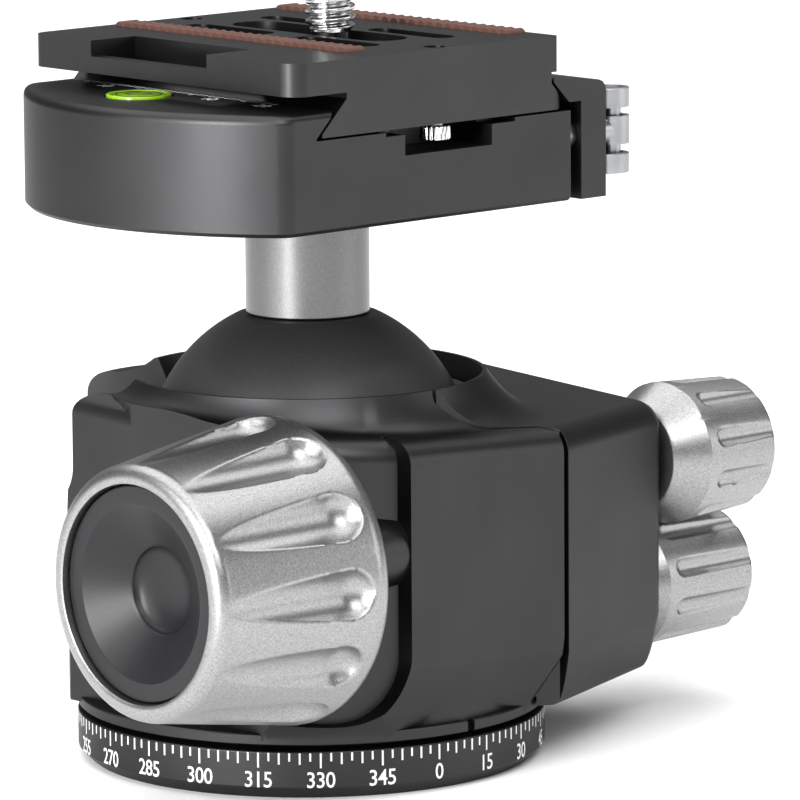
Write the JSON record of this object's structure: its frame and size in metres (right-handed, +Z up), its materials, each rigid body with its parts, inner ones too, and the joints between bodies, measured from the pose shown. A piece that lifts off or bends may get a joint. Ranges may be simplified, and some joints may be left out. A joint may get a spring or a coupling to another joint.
{
  "type": "tripod ball head",
  "caption": "Tripod ball head: a dialled pan foot, a pinched ball seat with a drop slot, knobs for lock, friction and pan, and a lever clamp with a sliding plate.",
  "frame": {"origin": "centre of the foot's underside, on the pan axis and at the mouth of the tripod socket", "axes": "+Z up along the pan axis, -Y the face with the dial's index mark, -X the main knob, +X the friction and pan lock knobs; the plate slides along Y"},
  "size_m": [0.1146, 0.0749, 0.0986],
  "materials": {
    "black_anodised": "satin",
    "ball_black": "satin",
    "turned_steel": "satin",
    "screw_steel": "satin",
    "bright_steel": "gloss",
    "stem_silver": "satin",
    "blasted_silver": "matte",
    "black_plastic": "matte",
    "pale_plastic": "matte",
    "seat_dark": "matte",
    "brass": "satin",
    "level_green": "gloss",
    "brown_rubber": "matte"
  },
  "bodies": {
    "foot": {"base_ring": "black_anodised", "socket_bush": "turned_steel", "pan_spindle": "turned_steel", "spindle_screw_a": "screw_steel", "spindle_screw_b": "screw_steel", "spindle_screw_c": "screw_steel", "pan_washer": "pale_plastic"},
    "housing": {"housing_main": "black_anodised", "housing_side": "black_anodised", "housing_screw_low": "screw_steel", "housing_screw_high": "screw_steel", "seat_ring": "seat_dark", "friction_pad": "pale_plastic", "pan_lock_shoe": "brass", "thrust_washer": "brass"},
    "seat": {"seat_shell": "pale_plastic"},
    "ball": {"ball": "ball_black", "stem": "stem_silver"},
    "clamp": {"clamp_body": "black_anodised", "clamp_bolt": "screw_steel", "level_cup": "black_plastic", "level_lens": "level_green", "jaw_pin_front": "screw_steel", "jaw_pin_back": "screw_steel", "jaw_spring_front": "screw_steel", "jaw_spring_back": "screw_steel", "draw_rod": "screw_steel", "lever_pin": "screw_steel"},
    "jaw": {"moving_jaw": "black_anodised"},
    "lever": {"lever": "bright_steel"},
    "plate": {"release_plate": "black_anodised", "rubber_strip_left": "brown_rubber", "rubber_strip_right": "brown_rubber", "stop_pin_front": "bright_steel", "stop_pin_back": "bright_steel"},
    "clip": {"screw_clip": "screw_steel"},
    "camera_screw": {"camera_screw": "bright_steel"},
    "main_knob": {"main_knob": "blasted_silver", "main_knob_cap": "black_plastic", "main_bolt": "screw_steel"},
    "friction_knob": {"friction_knob": "blasted_silver", "friction_screw": "screw_steel"},
    "pan_lock_knob": {"pan_lock_knob": "blasted_silver", "pan_lock_screw": "screw_steel"}
  },
  "joints": [
    {"name": "pan", "type": "hinge", "parent": "foot", "child": "housing", "pos_m": [0, 0, 0.0082], "axis": [0, 0, 1], "continuous": true},
    {"name": "ball_side", "type": "hinge", "parent": "housing", "child": "seat", "pos_m": [0, 0, 0.038], "axis": [-0.6561, 0.7547, 0], "range_deg": [-26, 28]},
    {"name": "ball_drop", "type": "hinge", "parent": "seat", "child": "ball", "pos_m": [0, 0, 0.038], "axis": [-0.7547, -0.6561, 0], "range_deg": [-18, 90]},
    {"name": "head_spin", "type": "hinge", "parent": "ball", "child": "clamp", "pos_m": [0, 0, 0.0713], "axis": [0, 0, 1], "continuous": true},
    {"name": "lever_swing", "type": "hinge", "parent": "clamp", "child": "lever", "pos_m": [0.0324, -0.0222, 0.07935], "axis": [0, 0, 1], "range_deg": [-110, 0]},
    {"name": "jaw_slide", "type": "slide", "parent": "clamp", "child": "jaw", "axis": [1, 0, 0], "range_m": [0, 0.00095]},
    {"name": "plate_slide", "type": "slide", "parent": "clamp", "child": "plate", "axis": [0, 1, 0], "range_m": [-0.0037, 0.0037]},
    {"name": "clip_slide", "type": "slide", "parent": "plate", "child": "clip", "axis": [0, 1, 0], "range_m": [-0.0091, 0.0134]},
    {"name": "camera_screw_turn", "type": "hinge", "parent": "clip", "child": "camera_screw", "pos_m": [0.0027, -0.00175, 0.0925], "axis": [0, 0, 1], "continuous": true},
    {"name": "main_knob_turn", "type": "hinge", "parent": "housing", "child": "main_knob", "pos_m": [-0.0248, -0.0247, 0.0306], "axis": [-1, 0, 0], "range_deg": [0, 270]},
    {"name": "friction_knob_turn", "type": "hinge", "parent": "housing", "child": "friction_knob", "pos_m": [0.045, -0.014, 0.0342], "axis": [1, 0, 0], "range_deg": [0, 340]},
    {"name": "pan_lock_knob_turn", "type": "hinge", "parent": "housing", "child": "pan_lock_knob", "pos_m": [0.045, -0.009, 0.0165], "axis": [1, 0, 0], "range_deg": [0, 340]}
  ],
  "couplings": [
    {"joint": "jaw_slide", "follows": "lever_swing", "m_per_rad": -0.00048962}
  ]
}
